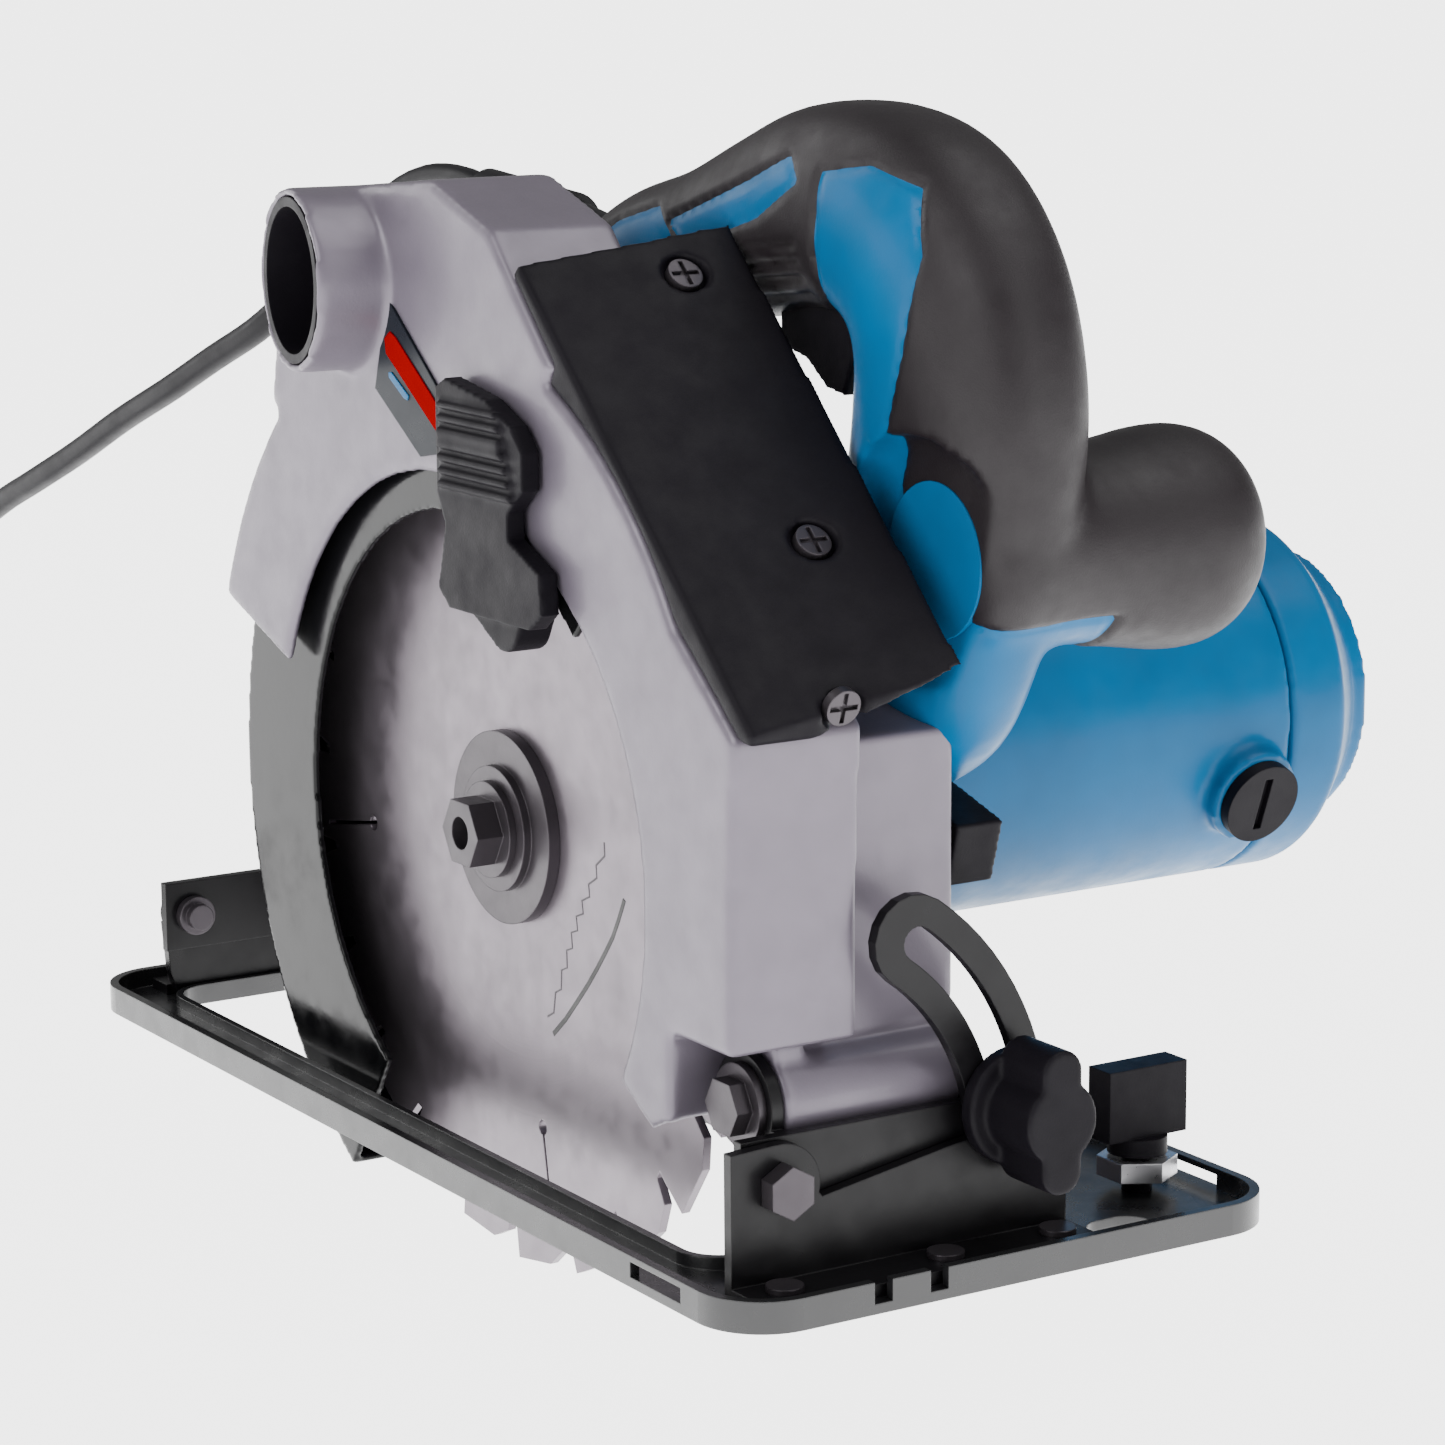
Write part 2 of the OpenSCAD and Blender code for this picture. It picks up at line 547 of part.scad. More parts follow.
module cooling_fan() color("#2f2f33") {
    ring_y(motor_x, motor_z, 12, 4.01, 62, 74);
    ring_y(motor_x, motor_z, 33, 11, 72, 74);
    for (a = [0:30:330]) translate([motor_x, 0, motor_z]) rotate([0, a, 0]) box([11, 62.5, -0.8], [32, 72.5, 0.8]);
}
module motor_bearings() color("#a9abb0") {
    bearing(motor_x, motor_z, 4.02, 11, 40, 49);
    bearing(motor_x, motor_z, 4.02, 11, 163, 170);
}
module carbon_brushes() color("#3a3a3c") for (s = [-1, 1]) brush_axis(s) translate([-4, -4, 12.1])
    cube([8, 8, 12]);
module brush_holders() color("#b58a45") for (s = [-1, 1]) brush_axis(s) difference() {
    translate([0, 0, 14]) cylinder(r = 7, h = 24);
    translate([-4.02, -4.02, 10]) cube([8.04, 8.04, 40]);
}
module brush_caps() color("#4b4a4f") for (s = [-1, 1]) brush_axis(s) difference() {
    union() {
        translate([0, 0, 38.1]) cylinder(r = 6.98, h = 5);
        translate([0, 0, 43.1]) cylinder(r = 9, h = 2.6);
    }
    translate([-6, -1, 44.2]) cube([12, 2, 4]);
}

// ---- handle ----
module handle_outline() polygon([[-48, 126], [-50, 176], [-46, 190], [-20, 196], [10, 203], [40, 211.5],
    [62, 216], [80, 216.5], [96, 212], [110, 202], [119, 188], [123, 172], [125, 158], [124, 142],
    [122, 130], [84, 121], [60, 112], [0, 112], [-24, 120]]);
module handle_core_outline() polygon([[-42, 126], [-44, 176], [-41, 186], [-20, 191], [10, 198], [40, 206],
    [62, 210.5], [80, 211], [92, 207], [104, 198], [112, 186], [117, 172], [119, 158], [118, 142],
    [116, 130], [84, 121], [60, 112], [0, 112], [-24, 120]]);
module finger_gap() polygon([[6, 134], [2, 156], [12, 166], [40, 172], [58, 174], [66, 170], [69, 160], [66, 146],
    [60, 134]]);
module handle_cavity() {
    polygon([[-20, 174], [-16, 184], [40, 199], [84, 202], [98, 190], [98, 182], [70, 182], [40, 181], [10, 174]]);
}
module handle_shell(y0, y1) difference() {
    along_y(y0, y1) difference() { handle_core_outline(); finger_gap(); }
    along_y(handle_y - 11, handle_y + 11) handle_cavity();
    box([39, handle_y - 6.4, 156], [69, handle_y + 6.4, 190]);
    rod_y(100, 133, grip_r + 0.05, 20, 120);
    if (y0 >= handle_y) rod_y(76, 192, 4.06, handle_y + 8, y1 + 3);
    rod_y(motor_x, motor_z, motor_r + 0.05, gear_y[1] + 0.05, 80);
    along_y(20, gear_y[1] + 0.05) gear_outline();
    rod_y(45, 179, 2.02, handle_y - 10, handle_y + 10);
    translate(relief_from) rotate([0, -80, 0]) translate([0, 0, -14]) cylinder(r = 7.02, h = 40);
}
module handle_shell_right() color("#0a78bd") handle_shell(handle_y - handle_w / 2, handle_y);
module handle_shell_left() color("#0a78bd") handle_shell(handle_y, handle_y + handle_w / 2);
module handle_overmold() color("#2a2629") difference() {
    along_y(handle_y - handle_w / 2 + 0.5, handle_y + handle_w / 2 - 0.5) difference() {
        handle_outline();
        handle_core_outline();
        polygon([[-60, 100], [-60, 126], [140, 136], [140, 100]]);
    }
    rod_y(100, 133, grip_r + 0.05, 20, 120);
    translate(relief_from) rotate([0, -80, 0]) translate([0, 0, -14]) cylinder(r = 8.52, h = 40);
}
module front_grip() color("#2a2629") translate([100, 0, 133]) rotate([-90, 0, 0]) rotate_extrude() polygon([
    [0, 37.1], [grip_r - 5, 37.1], [grip_r - 5, 34], [grip_r - 3, 34], [grip_r, 38], [grip_r, grip_end - 12],
    [grip_r - 2, grip_end - 6], [grip_r - 7, grip_end - 1.5], [grip_r - 12, grip_end], [0, grip_end]]);
module grip_end_cap() color("#0a6cb0") rod_y(100, 133, grip_r - 5.05, 34.5, 37);
module trigger() color("#232326") difference() {
    along_y(handle_y - 6, handle_y + 6) polygon([[41, 184], [64, 184], [66.5, 168], [63, 160], [57, 161],
        [50, 166], [41, 168]]);
    rod_y(45, 179, 2.04, 30, 60);
}
module lock_button() color("#232326") {
    rod_y(76, 192, 4, handle_y + handle_w / 2 - 7, handle_y + handle_w / 2 + 2.5);
}
module switch_module() color("#1d1d20") box([12, handle_y - 9, 183.5], [38, handle_y + 9, 191]);
module trigger_pin() color("#9a9ca1") rod_y(45, 179, 2, handle_y - 9.5, handle_y + 9.5);
module strain_relief() color("#242226") translate(relief_from) rotate([0, -80, 0]) difference() {
    union() {
        translate([0, 0, -12]) cylinder(r = 7, h = 18);
        translate([0, 0, 6]) cylinder(r1 = 8.5, r2 = 5.2, h = 36);
    }
    translate([0, 0, -13]) cylinder(r = cord_d / 2, h = 80);
}

// ---- cord ----
relief_tip = relief_from + 42 * [-sin(80), 0, cos(80)];
cord_path = [relief_tip + 4 * [sin(80), 0, -cos(80)], relief_tip + [-14, 0, 2], [-120, 44, 190.5],
    [-138, 42, 182], [-154, 39, 171], [-168, 35.5, 161], [-181, 32, 152.3], [-199, 29, 144], [-218, 26, 135],
    [-242, 23.5, 125], [-265, 21, 114.3], [-288, 18.5, 104.5], [-309, 17, 96], [-330, 14, 84], [-348, 10, 66],
    [-360, 5.5, 44], [-366.5, 0, 22], [-370, -7, 2], [-371.5, -17, -12.5], [-372, -30, -19.5],
    [-372, -46, -21.2], [-372, -64, -21.2]];
coil_at = [-328.8, -64];
coil_r = [27, 46.5];                 // inner and outer radius of the coil
coil_h = 19.5;
function sub(a, b) = [a[0] - b[0], a[1] - b[1], a[2] - b[2]];
function unit(v) = v / norm(v);
function tangent(i) = unit(sub(cord_path[min(i + 1, len(cord_path) - 1)], cord_path[max(i - 1, 0)]));
function smooth(i, t) = let (a = cord_path[max(i - 1, 0)], b = cord_path[i], c = cord_path[i + 1],
    d = cord_path[min(i + 2, len(cord_path) - 1)])
    0.5 * (2 * b + (c - a) * t + (2 * a - 5 * b + 4 * c - d) * t * t + (3 * b - a - 3 * c + d) * t * t * t);
cord_rings = concat([for (i = [0:len(cord_path) - 2], t = [0, 0.5]) smooth(i, t)],
    [cord_path[len(cord_path) - 1]]);
cord_sides = 10;
function ring_dir(i) = unit(sub(cord_rings[min(i + 1, len(cord_rings) - 1)], cord_rings[max(i - 1, 0)]));
function ring_side(i) = unit(cross(ring_dir(i), [0.2, 1, 0.1]));
function ring_point(i, k) = let (s = ring_side(i), u = cross(ring_dir(i), s), a = 360 * k / cord_sides)
    cord_rings[i] + cord_d / 2 * (s * cos(a) + u * sin(a));
module cord_tube() color("#2b2a2e") {
    n = len(cord_rings);
    polyhedron([for (i = [0:n - 1], k = [0:cord_sides - 1]) ring_point(i, k)],
        concat([[for (k = [0:cord_sides - 1]) k]],
            [for (i = [0:n - 2], k = [0:cord_sides - 1]) let (j = (k + 1) % cord_sides)
                [i * cord_sides + k, (i + 1) * cord_sides + k, (i + 1) * cord_sides + j, i * cord_sides + j]],
            [[for (k = [cord_sides - 1:-1:0]) (n - 1) * cord_sides + k]]));
}
module cord_coil() color("#2b2a2e") translate([coil_at[0], coil_at[1], floor_z]) rotate_extrude()
    translate([coil_r[0], 0]) square([coil_r[1] - coil_r[0], coil_h]);
plug_at = [coil_at[0], coil_at[1], floor_z + coil_h];
plug_x = 25.3;                       // the plug lies along Y, this far from the coil's centre
plug_y = [-2, 38, 46];               // cord end, front of the tapered body, front of the flange
module plug_body() color("#242226") translate(plug_at) {
    translate([plug_x, plug_y[1], 9]) rotate([90, 0, 0]) cylinder(r1 = 9, r2 = 5, h = plug_y[1] - plug_y[0]);
    box([plug_x - 13, plug_y[1] - 1, 0.1], [plug_x + 13, plug_y[2], 18]);
}
module plug_pins() color("#c8b98a") translate(plug_at) for (x = [-9.5, 9.5])
    translate([plug_x + x, plug_y[2], 9]) rotate([-90, 0, 0]) cylinder(r = 2.4, h = 19);

base_plate();
front_quadrant();
rear_bracket();
base_rivets();
guide_clamp_nut();
guide_clamp_screw();
pivot_bracket();
bevel_pivot_screws();
bevel_stud();
bevel_knob();
depth_hinge_pin();
depth_guide();
depth_stud();
depth_lever();
upper_guard();
gear_housing();
dust_sleeve();
name_badge();
front_cover();
cover_screws();
bearing_retainer();
spindle_bearings();
spindle();
output_gear();
inner_flange();
blade();
outer_flange();
blade_bolt();
lower_guard();
guard_lever();
guard_spring();
spindle_lock();
motor_housing();
motor_end_cap();
stator();
armature_shaft();
armature_core();
commutator();
cooling_fan();
motor_bearings();
carbon_brushes();
brush_holders();
brush_caps();
handle_shell_right();
handle_shell_left();
handle_overmold();
front_grip();
grip_end_cap();
trigger();
lock_button();
switch_module();
trigger_pin();
strain_relief();
cord_tube();
cord_coil();
plug_body();
plug_pins();
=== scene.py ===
"""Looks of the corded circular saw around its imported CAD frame.

The scene, its camera and its lights are in metres. Routes, outlines and profiles are in millimetres,
and mm turns them into metres. The frame is the CAD's: +X the cutting direction, +Y from blade to
motor, +Z up, the origin on the sole straight below the arbor.
"""
import json
import math

import bmesh
import bpy
import numpy as np
from mathutils import Matrix, Vector

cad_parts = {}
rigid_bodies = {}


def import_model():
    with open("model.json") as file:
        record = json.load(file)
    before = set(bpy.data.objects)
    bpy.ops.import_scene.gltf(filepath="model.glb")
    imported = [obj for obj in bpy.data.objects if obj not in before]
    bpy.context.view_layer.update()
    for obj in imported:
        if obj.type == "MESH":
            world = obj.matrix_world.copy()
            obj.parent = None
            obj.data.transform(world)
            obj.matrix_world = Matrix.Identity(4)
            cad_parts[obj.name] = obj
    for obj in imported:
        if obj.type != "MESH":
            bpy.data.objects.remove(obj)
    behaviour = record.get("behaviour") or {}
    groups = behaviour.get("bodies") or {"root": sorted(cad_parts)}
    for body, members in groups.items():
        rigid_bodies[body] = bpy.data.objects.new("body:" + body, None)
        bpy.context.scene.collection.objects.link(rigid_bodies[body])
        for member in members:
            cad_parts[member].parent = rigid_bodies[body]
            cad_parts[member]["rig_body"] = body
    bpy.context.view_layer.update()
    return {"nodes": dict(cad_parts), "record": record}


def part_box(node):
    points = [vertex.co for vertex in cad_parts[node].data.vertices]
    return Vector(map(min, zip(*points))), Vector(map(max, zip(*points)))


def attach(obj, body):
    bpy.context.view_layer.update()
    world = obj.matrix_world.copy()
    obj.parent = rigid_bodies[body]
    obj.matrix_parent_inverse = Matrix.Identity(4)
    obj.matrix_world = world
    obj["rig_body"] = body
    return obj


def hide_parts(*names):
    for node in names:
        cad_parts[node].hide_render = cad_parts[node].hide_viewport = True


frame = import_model()
nodes = frame["nodes"]
mm = 0.001
floor_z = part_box("cord_coil")[0].z
arbor_z = (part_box("blade")[0].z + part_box("blade")[1].z) / 2


# ---- camera, floor and lights ----
def camera_at(target, azimuth, elevation, distance, roll, lens):
    """A camera that looks at target from the given angles, in degrees, azimuth from -Y towards +X."""
    a, e = math.radians(azimuth), math.radians(elevation)
    back = Vector((math.sin(a) * math.cos(e), -math.cos(a) * math.cos(e), math.sin(e)))
    right = Vector((math.cos(a), math.sin(a), 0))
    up = back.cross(right)
    turn = Matrix.Rotation(math.radians(roll), 3, back)
    axes = Matrix((turn @ right, turn @ up, back)).transposed()
    data = bpy.data.cameras.new("camera")
    data.lens = lens
    data.sensor_width = 36
    data.clip_start = 0.05
    data.clip_end = 20
    camera = bpy.data.objects.new("camera", data)
    bpy.context.scene.collection.objects.link(camera)
    camera.matrix_world = Matrix.Translation(target + distance * back) @ axes.to_4x4()
    bpy.context.scene.camera = camera


camera_at(Vector((23.66, 35.47, 89.43)) * mm, 57.97, 11.33, 0.864, -0.454, 105.57)


def area_light(name, place, aim, size, power):
    data = bpy.data.lights.new(name, "AREA")
    data.shape = "RECTANGLE"
    data.size, data.size_y = size
    data.energy = power
    lamp = bpy.data.objects.new(name, data)
    bpy.context.scene.collection.objects.link(lamp)
    lamp.location = place
    lamp.rotation_euler = (Vector(aim) - Vector(place)).to_track_quat("-Z", "Y").to_euler()


area_light("key_softbox", (0.35, -1.3, 1.0), (0, 0.03, 0.1), (1.1, 0.9), 17)
area_light("top_softbox", (0.5, 0.5, 1.6), (0.02, 0.06, 0.1), (1.4, 1.4), 20)
area_light("front_strip", (1.5, 0.5, 0.5), (0.05, 0.08, 0.1), (0.5, 1.3), 7)
area_light("rear_strip", (-1.1, -0.5, 0.7), (0, 0, 0.1), (0.5, 1.2), 7)

world = bpy.data.worlds.new("studio")
bpy.context.scene.world = world
world.use_nodes = True
background = world.node_tree.nodes["Background"]
background.inputs["Color"].default_value = (1, 1, 1, 1)
background.inputs["Strength"].default_value = 0.3


# ---- materials ----
def node_of(tree, kind, inputs=None, **settings):
    node = tree.nodes.new(kind)
    for key, value in settings.items():
        setattr(node, key, value)
    for key, value in (inputs or {}).items():
        node.inputs[key].default_value = value
    return node


def noise(tree, place, scale, detail=4.0):
    node = node_of(tree, "ShaderNodeTexNoise", {"Scale": scale, "Detail": detail, "Roughness": 0.6})
    tree.links.new(place, node.inputs["Vector"])
    return node.outputs["Fac"]


def remap(tree, value, low, high):
    """The middle of a noise's range, 0.3 to 0.7, spread from low to high."""
    node = node_of(tree, "ShaderNodeMapRange", {"From Min": 0.3, "From Max": 0.7,
                                                "To Min": low, "To Max": high})
    tree.links.new(value, node.inputs["Value"])
    return node.outputs["Result"]


def mixed(tree, factor, first, second):
    """Colour first where factor is 0 and second where it is 1; each may be a colour or a socket."""
    node = node_of(tree, "ShaderNodeMix", data_type="RGBA")
    tree.links.new(factor, node.inputs["Factor"])
    for key, colour in (("A", first), ("B", second)):
        socket = next(i for i in node.inputs if i.name == key and i.type == "RGBA")
        if hasattr(colour, "links"):
            tree.links.new(colour, socket)
        else:
            socket.default_value = (*colour, 1)
    return next(o for o in node.outputs if o.type == "RGBA")


def surface(name, colour, roughness, metallic=0.0, coat=0.0, grain=900.0, grain_depth=0.02, mottle=0.1,
            edge=0.0004, specular=0.5, rings=None):
    """A procedural finish: mottled colour, uneven gloss, a fine moulded or cast grain, softened edges.

    grain is the grain's frequency per metre, rings that of turning marks round the arbor.
    """
    rough_spread = 0.08
    made = bpy.data.materials.new(name)
    made.use_nodes = True
    tree = made.node_tree
    shader = tree.nodes["Principled BSDF"]
    shader.inputs["Metallic"].default_value = metallic
    shader.inputs["Coat Weight"].default_value = coat
    shader.inputs["Coat Roughness"].default_value = 0.12
    shader.inputs["Specular IOR Level"].default_value = specular
    place = node_of(tree, "ShaderNodeTexCoord").outputs["Object"]
    cloud = noise(tree, place, 38.0, 3.0)
    fine = noise(tree, place, grain, 3.0)
    if rings:
        from_arbor = node_of(tree, "ShaderNodeMapping", {"Location": (0, 0, -arbor_z), "Scale": (1, 0, 1)})
        tree.links.new(place, from_arbor.inputs["Vector"])
        radius = node_of(tree, "ShaderNodeVectorMath", operation="LENGTH")
        tree.links.new(from_arbor.outputs["Vector"], radius.inputs[0])
        turning = node_of(tree, "ShaderNodeTexNoise", {"Scale": rings, "Detail": 2.0}, noise_dimensions="1D")
        tree.links.new(radius.outputs["Value"], turning.inputs["W"])
        fine = turning.outputs["Fac"]
    dark = tuple(c * (1 - mottle) for c in colour)
    light = tuple(min(1.0, c * (1 + mottle)) for c in colour)
    tint = mixed(tree, remap(tree, cloud, 0, 1), dark, light)
    tree.links.new(tint, shader.inputs["Base Color"])
    tree.links.new(remap(tree, noise(tree, place, 130.0), roughness - rough_spread, roughness + rough_spread),
                   shader.inputs["Roughness"])
    bump = node_of(tree, "ShaderNodeBump", {"Strength": 1.0, "Distance": grain_depth * mm})
    tree.links.new(fine, bump.inputs["Height"])
    if edge:
        soft = node_of(tree, "ShaderNodeBevel", {"Radius": edge}, samples=4)
        tree.links.new(soft.outputs["Normal"], bump.inputs["Normal"])
    tree.links.new(bump.outputs["Normal"], shader.inputs["Normal"])
    return made


# slot badge_red is the badge's dark plate; its red bar wears badge_stripe
finish = {
    "guard_casting": surface("guard_casting", (0.13, 0.113, 0.142), 0.42, metallic=0.35, grain=1500,
                             grain_depth=0.03, mottle=0.05, coat=0.15),
    "black_sheet": surface("black_sheet", (0.004, 0.0036, 0.0044), 0.34, grain=1900, grain_depth=0.012,
                           specular=0.2),
    "base_sheet": surface("base_sheet", (0.010, 0.010, 0.011), 0.3, grain=1900, grain_depth=0.012, coat=0.15),
    "black_plastic": surface("black_plastic", (0.0055, 0.0046, 0.0066), 0.5, grain=2200,
                             grain_depth=0.035, specular=0.09),
    "guard_black": surface("guard_black", (0.003, 0.003, 0.0035), 0.14, grain=700, grain_depth=0.01,
                           specular=0.18),
    "grip_rubber": surface("grip_rubber", (0.008, 0.0055, 0.007), 0.5, grain=2600, grain_depth=0.05,
                           specular=0.3),
    "blue_plastic": surface("blue_plastic", (0.0, 0.085, 0.21), 0.36, grain=1800, grain_depth=0.02,
                            specular=0.16),
    "blade_steel": surface("blade_steel", (0.18, 0.158, 0.18), 0.36, metallic=0.85, grain=900,
                           grain_depth=0.01, rings=1500.0),
    "dark_steel": surface("dark_steel", (0.055, 0.048, 0.055), 0.36, metallic=0.7, grain=1600,
                          grain_depth=0.015),
    "bright_steel": surface("bright_steel", (0.5, 0.5, 0.52), 0.3, metallic=0.95, grain=1600,
                            grain_depth=0.01),
    "gear_steel": surface("gear_steel", (0.3, 0.3, 0.32), 0.3, metallic=0.95, grain=1200, grain_depth=0.01),
    "retainer_alloy": surface("retainer_alloy", (0.4, 0.4, 0.42), 0.35, metallic=0.9, grain=1200),
    "badge_stripe": surface("badge_stripe", (0.19, 0.0, 0.0015), 0.4, grain=1500, grain_depth=0.004,
                            specular=0.0),
    "badge_red": surface("badge_red", (0.006, 0.008, 0.012), 0.3, grain=1500, grain_depth=0.004,
                         specular=0.1),
    "copper": surface("copper", (0.55, 0.22, 0.09), 0.3, metallic=0.9, grain=1500),
    "brass": surface("brass", (0.6, 0.42, 0.16), 0.25, metallic=0.95, grain=1500, grain_depth=0.01),
    "carbon": surface("carbon", (0.03, 0.03, 0.03), 0.6, grain=2000),
    "cord_rubber": surface("cord_rubber", (0.005, 0.0045, 0.006), 0.42, grain=1200, grain_depth=0.03,
                           edge=0, specular=0.15),
}
slot_of = {part["node"]: part["material_slot"] for part in frame["record"]["subparts"]}


def coat_with(obj, material):
    obj.data.materials.clear()
    obj.data.materials.append(material)


for name, obj in nodes.items():
    for i in range(len(obj.material_slots)):
        obj.material_slots[i].material = finish["base_sheet" if name == "base_plate" else slot_of[name]]


def mesh_object(name, bm):
    """An object made from bm, which is freed."""
    mesh = bpy.data.meshes.new(name)
    bm.to_mesh(mesh)
    bm.free()
    obj = bpy.data.objects.new(name, mesh)
    bpy.context.scene.collection.objects.link(obj)
    return obj


floor_bm = bmesh.new()
bmesh.ops.create_grid(floor_bm, x_segments=1, y_segments=1, size=40)
floor = mesh_object("floor", floor_bm)
floor.location.z = floor_z - 0.3 * mm
floor_finish = surface("floor_paper", (0.12, 0.12, 0.12), 0.9, grain=500, mottle=0.01, edge=0, specular=0.0)
glow = floor_finish.node_tree.nodes["Principled BSDF"]
glow.inputs["Emission Color"].default_value = (1, 1, 1, 1)
glow.inputs["Emission Strength"].default_value = 4.0
floor.data.materials.append(floor_finish)

# ---- mesh helpers ----
def applied(obj):
    """Turns obj's modifiers into its mesh."""
    made = bpy.data.meshes.new_from_object(obj.evaluated_get(bpy.context.evaluated_depsgraph_get()))
    old = obj.data
    obj.modifiers.clear()
    obj.data = made
    bpy.data.meshes.remove(old)
    return obj


def shaded(obj):
    """Smooth shading on every face."""
    bm = bmesh.new()
    bm.from_mesh(obj.data)
    for face in bm.faces:
        face.smooth = True
    bm.to_mesh(obj.data)
    bm.free()
    return obj


def copy_of(name, *names):
    """One new object from the meshes of CAD nodes."""
    bm = bmesh.new()
    for node in names:
        bm.from_mesh(nodes[node].data)
    bmesh.ops.remove_doubles(bm, verts=bm.verts, dist=2e-6)
    return mesh_object(name, bm)


def remeshed(obj, voxel, rounds):
    """Voxel remesh at voxel millimetres, then rounds of smoothing, which rounds every edge over."""
    grid = obj.modifiers.new("grid", "REMESH")
    grid.mode = "VOXEL"
    grid.voxel_size = voxel * mm
    smooth = obj.modifiers.new("smooth", "SMOOTH")
    smooth.factor = 0.5
    smooth.iterations = rounds
    return shaded(applied(obj))


def placed(obj, body, material, replaced=()):
    """The piece takes a finish, rides on its body and stands for CAD nodes."""
    coat_with(obj, finish[material])
    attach(obj, body)
    if replaced:
        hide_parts(*replaced)
    return obj


def cast(name, voxel, rounds):
    """A CAD node as a casting or moulding: the same shape with every edge rounded over."""
    body = nodes[name]["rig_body"]
    return placed(remeshed(copy_of("soft_" + name, name), voxel, rounds), body, slot_of[name], [name])


for name, voxel, rounds in (("upper_guard", 0.9, 11), ("front_cover", 0.8, 5), ("lower_guard", 0.7, 3),
                            ("guard_lever", 0.5, 4), ("bevel_knob", 0.5, 5), ("gear_housing", 0.9, 9),
                            ("spindle_lock", 0.5, 3), ("trigger", 0.5, 4), ("motor_housing", 0.9, 6),
                            ("motor_end_cap", 0.8, 5), ("depth_lever", 0.5, 4)):
    cast(name, voxel, rounds)


# ---- cord ----
def spline(points, steps):
    """Catmull-Rom points through the given ones, steps to each stretch."""
    p = [Vector(q) for q in points]
    p = [2 * p[0] - p[1]] + p + [2 * p[-1] - p[-2]]
    out = []
    for a, b, c, d in zip(p, p[1:], p[2:], p[3:]):
        for k in range(steps):
            t = k / steps
            out.append(0.5 * (2 * b + (c - a) * t + (2 * a - 5 * b + 4 * c - d) * t * t
                              + (3 * b - a - 3 * c + d) * t ** 3))
    return out + [p[-2]]


cord_d = 6.5
handle_y = 45
relief_from = Vector((-47, handle_y, 183))
relief_length = 42
relief_lean = math.radians(80)
relief_axis = Vector((-math.sin(relief_lean), 0, math.cos(relief_lean)))
relief_tip = relief_from + relief_length * relief_axis
free_run = [relief_tip - 4 * relief_axis, relief_tip + Vector((-14, 0, 2)), (-120, 44, 190.5), (-138, 42, 182),
            (-154, 39, 171), (-168, 35.5, 161), (-181, 32, 152.3), (-199, 29, 144), (-218, 26, 135),
            (-242, 23.5, 125), (-265, 21, 114.3), (-288, 18.5, 104.5), (-309, 17, 96), (-330, 14, 84),
            (-348, 10, 66), (-360, 5.5, 44), (-366.5, 0, 22), (-370, -7, 2), (-371.5, -17, -12.5),
            (-372, -30, -19.5), (-372, -46, -21.2)]
coil_low, coil_high = (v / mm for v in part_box("cord_coil"))
coil_at = (coil_low + coil_high) / 2
turn_r = [coil_high.x - coil_at.x - (k + 0.5) * cord_d for k in range(3)]
turn_r[2] += 0.1                     # the innermost turn stands this much wider than its place in the row
turn_z = [coil_low.z + (k + 0.5) * cord_d for k in range(3)]
turns = [(turn_r[0], turn_z[0]), (turn_r[1], turn_z[0]), (turn_r[2], turn_z[0]), (turn_r[2], turn_z[1]),
         (turn_r[1], turn_z[1]), (turn_r[0], turn_z[1]), (turn_r[0], turn_z[2]), (turn_r[1], turn_z[2]),
         (turn_r[2], turn_z[2])]


def turn_at(k, share):
    """Radius and height at a share of turn k: it moves to the next turn's place in its last third."""
    here, after = turns[k], turns[min(k + 1, len(turns) - 1)]
    t = max(0.0, (share - 2 / 3) * 3)
    t = t * t * (3 - 2 * t)
    return here[0] + (after[0] - here[0]) * t, here[1] + (after[1] - here[1]) * t


coil_run = []
steps = 36
for k in range(len(turns) - 1):
    for i in range(steps):
        radius, height = turn_at(k, i / steps)
        angle = math.pi + 2 * math.pi * i / steps
        coil_run.append(Vector((coil_at.x + radius * math.cos(angle), coil_at.y + radius * math.sin(angle),
                                height)))
plug_low, plug_high = (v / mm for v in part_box("plug_body"))
plug_axis_height = 8.9               # of the cord's centre over the plug's underside
lead_end = Vector(((plug_low.x + plug_high.x) / 2, plug_low.y, plug_low.z + plug_axis_height))
leave = math.radians(240)            # the lead follows the innermost turn to here, then a tighter circle
lead_r = 27
lead_steps = 24
hub = coil_at + (turn_r[2] - lead_r) * Vector((math.cos(leave), math.sin(leave), 0))
lead = []
for i in range(lead_steps + 1):
    share = i / lead_steps
    angle = math.pi * (1 + share)
    middle, radius = (coil_at, turn_r[2]) if angle < leave else (hub, lead_r)
    rise = share ** 2 * (3 - 2 * share)
    lead.append(Vector((middle.x + radius * math.cos(angle), middle.y + radius * math.sin(angle),
                        turn_z[2] + (lead_end.z - turn_z[2]) * rise)))
lead.append(Vector((lead[-1].x, lead_end.y + 4, lead_end.z)))
route = spline(free_run, 4) + coil_run + lead
cord_curve = bpy.data.curves.new("cord", "CURVE")
cord_curve.dimensions = "3D"
cord_curve.bevel_depth = cord_d / 2 * mm
cord_curve.bevel_resolution = 4
cord_curve.use_fill_caps = True
run = cord_curve.splines.new("POLY")
run.points.add(len(route) - 1)
for point, place in zip(run.points, route):
    point.co = (*(place * mm), 1)
cord = bpy.data.objects.new("cord", cord_curve)
bpy.context.scene.collection.objects.link(cord)
placed(cord, "saw_body", "cord_rubber", ["cord_tube", "cord_coil"])


